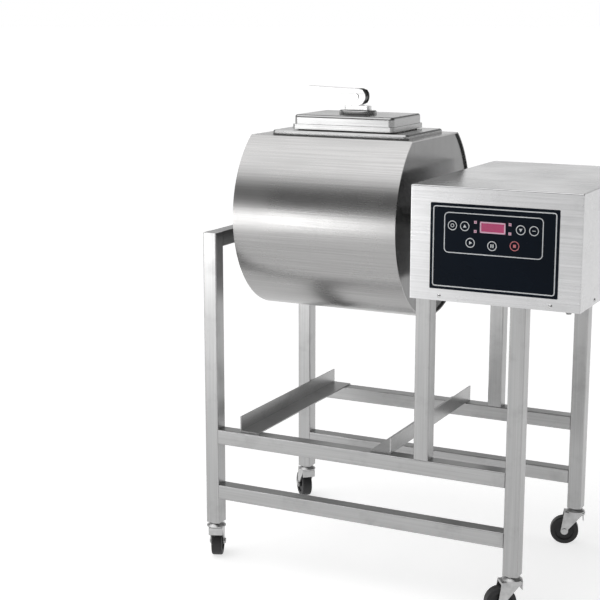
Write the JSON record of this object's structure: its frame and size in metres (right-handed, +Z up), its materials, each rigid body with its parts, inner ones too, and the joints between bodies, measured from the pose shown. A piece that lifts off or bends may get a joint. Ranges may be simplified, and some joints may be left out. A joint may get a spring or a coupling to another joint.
{
  "type": "meat vacuum tumbler",
  "caption": "Horizontal stainless drum with a levered top hatch, turned by a geared motor in a control box and evacuated by a pump, on a square tube frame with swivel casters.",
  "frame": {"origin": "centre of the overall footprint, on the floor", "axes": "+X along the drum axis from the stub shaft to the control box, +Y from the panel side to the back, +Z up"},
  "size_m": [1.0138, 0.636, 1.2267],
  "materials": {
    "frame_steel": "satin square tube",
    "plain_steel": "mill finish sheet",
    "box_steel": "fine satin sheet",
    "fastener_steel": "bright",
    "gland_plastic": "grey moulded",
    "panel_film": "navy printed film",
    "display_lens": "magenta lens",
    "led_lens": "pale pink lens",
    "circuit_board": "green board",
    "motor_paint": "blue grey enamel",
    "bearing_iron": "painted cast iron",
    "brass_fitting": "turned",
    "pump_paint": "grey enamel",
    "pipe_steel": "drawn tube",
    "zinc_plate": "zinc plated",
    "wheel_rubber": "black",
    "drum_steel": "satin, lengthwise",
    "end_steel": "polished",
    "hatch_steel": "satin",
    "seal_rubber": "white silicone",
    "shaft_steel": "ground",
    "lever_chrome": "mirror polish",
    "key_film": "navy printed"
  },
  "bodies": {
    "frame": {"post_front_left": "frame_steel", "post_rear_left": "frame_steel", "post_front_right": "frame_steel", "post_rear_right": "frame_steel", "post_front_middle": "frame_steel", "post_rear_middle": "frame_steel", "rail_upper_front": "frame_steel", "rail_upper_rear": "frame_steel", "rail_lower_front": "frame_steel", "rail_lower_rear": "frame_steel", "crossbar_left": "frame_steel", "tray_runner_left": "frame_steel", "tray_runner_right": "frame_steel", "box_base": "plain_steel", "box_cover": "box_steel", "box_screws": "fastener_steel", "cable_gland": "gland_plastic", "panel_overlay": "panel_film", "display_window": "display_lens", "indicator_leds": "led_lens", "control_board": "circuit_board", "drive_stand": "plain_steel", "gear_motor": "motor_paint", "pillow_block_left": "bearing_iron", "pillow_block_right": "bearing_iron", "pillow_bolts": "fastener_steel", "rotary_union": "brass_fitting", "vacuum_pump": "pump_paint", "vacuum_pipe": "pipe_steel", "caster_heads": "zinc_plate"},
    "drum": {"drum_shell": "drum_steel", "drum_end_left": "end_steel", "drum_end_right": "end_steel", "drum_baffles": "plain_steel", "hatch_flange": "hatch_steel", "hatch_seal": "seal_rubber", "stub_shaft": "shaft_steel", "drive_shaft": "shaft_steel"},
    "lid": {"lid": "hatch_steel", "lid_pedestal": "hatch_steel"},
    "lock_pad": {"lock_pad": "shaft_steel"},
    "lock_stem": {"lock_stem": "shaft_steel", "lock_bar": "shaft_steel"},
    "lever": {"lever": "lever_chrome", "lever_pin": "fastener_steel"},
    "key_a": {"key_a": "key_film"},
    "key_up": {"key_up": "key_film"},
    "key_down": {"key_down": "key_film"},
    "key_b": {"key_b": "key_film"},
    "key_c": {"key_c": "key_film"},
    "key_d": {"key_d": "key_film"},
    "key_e": {"key_e": "key_film"},
    "fork_front_left": {"fork_front_left": "zinc_plate"},
    "wheel_front_left": {"wheel_front_left": "wheel_rubber"},
    "fork_rear_left": {"fork_rear_left": "zinc_plate"},
    "wheel_rear_left": {"wheel_rear_left": "wheel_rubber"},
    "fork_front_right": {"fork_front_right": "zinc_plate"},
    "wheel_front_right": {"wheel_front_right": "wheel_rubber"},
    "fork_rear_right": {"fork_rear_right": "zinc_plate"},
    "wheel_rear_right": {"wheel_rear_right": "wheel_rubber"}
  },
  "joints": [
    {"name": "drum_spin", "type": "hinge", "parent": "frame", "child": "drum", "pos_m": [-0.18166, -0.00378, 0.9065], "axis": [1, 0, 0], "continuous": true},
    {"name": "lid_lift", "type": "slide", "parent": "drum", "child": "lid", "axis": [0, 0, 1], "range_m": [0, 0.3]},
    {"name": "lock_turn", "type": "hinge", "parent": "lid", "child": "lock_pad", "pos_m": [-0.17566, -0.00378, 1.1585], "axis": [0, 0, 1], "range_deg": [0, 90]},
    {"name": "stem_drop", "type": "slide", "parent": "lock_pad", "child": "lock_stem", "axis": [0, 0, -1], "range_m": [0, 0.0026]},
    {"name": "lever_swing", "type": "hinge", "parent": "lock_stem", "child": "lever", "pos_m": [-0.17566, -0.00378, 1.20216], "axis": [0, 1, 0], "range_deg": [0, 90]},
    {"name": "press_key_a", "type": "slide", "parent": "frame", "child": "key_a", "axis": [0, 1, 0], "range_m": [0, 0.0005], "stiffness_N_per_m": 600},
    {"name": "press_key_up", "type": "slide", "parent": "frame", "child": "key_up", "axis": [0, 1, 0], "range_m": [0, 0.0005], "stiffness_N_per_m": 600},
    {"name": "press_key_down", "type": "slide", "parent": "frame", "child": "key_down", "axis": [0, 1, 0], "range_m": [0, 0.0005], "stiffness_N_per_m": 600},
    {"name": "press_key_b", "type": "slide", "parent": "frame", "child": "key_b", "axis": [0, 1, 0], "range_m": [0, 0.0005], "stiffness_N_per_m": 600},
    {"name": "press_key_c", "type": "slide", "parent": "frame", "child": "key_c", "axis": [0, 1, 0], "range_m": [0, 0.0005], "stiffness_N_per_m": 600},
    {"name": "press_key_d", "type": "slide", "parent": "frame", "child": "key_d", "axis": [0, 1, 0], "range_m": [0, 0.0005], "stiffness_N_per_m": 600},
    {"name": "press_key_e", "type": "slide", "parent": "frame", "child": "key_e", "axis": [0, 1, 0], "range_m": [0, 0.0005], "stiffness_N_per_m": 600},
    {"name": "swivel_front_left", "type": "hinge", "parent": "frame", "child": "fork_front_left", "pos_m": [-0.45366, -0.26978, 0.09], "axis": [0, 0, 1], "continuous": true},
    {"name": "roll_front_left", "type": "hinge", "parent": "fork_front_left", "child": "wheel_front_left", "pos_m": [-0.4646, -0.24401, 0.0375], "axis": [-0.9205, -0.3907, 0], "continuous": true},
    {"name": "swivel_rear_left", "type": "hinge", "parent": "frame", "child": "fork_rear_left", "pos_m": [-0.45366, 0.26222, 0.09], "axis": [0, 0, 1], "continuous": true},
    {"name": "roll_rear_left", "type": "hinge", "parent": "fork_rear_left", "child": "wheel_rear_left", "pos_m": [-0.47276, 0.2827, 0.0375], "axis": [-0.7314, -0.682, 0], "continuous": true},
    {"name": "swivel_front_right", "type": "hinge", "parent": "frame", "child": "fork_front_right", "pos_m": [0.35834, -0.26978, 0.09], "axis": [0, 0, 1], "continuous": true},
    {"name": "roll_front_right", "type": "hinge", "parent": "fork_front_right", "child": "wheel_front_right", "pos_m": [0.33569, -0.28624, 0.0375], "axis": [0.5878, -0.809, 0], "continuous": true},
    {"name": "swivel_rear_right", "type": "hinge", "parent": "frame", "child": "fork_rear_right", "pos_m": [0.35834, 0.26222, 0.09], "axis": [0, 0, 1], "continuous": true},
    {"name": "roll_rear_right", "type": "hinge", "parent": "fork_rear_right", "child": "wheel_rear_right", "pos_m": [0.33171, 0.25357, 0.0375], "axis": [0.309, -0.9511, 0], "continuous": true}
  ],
  "couplings": [
    {"joint": "stem_drop", "follows": "lever_swing", "m_per_rad": 0.0015915}
  ]
}
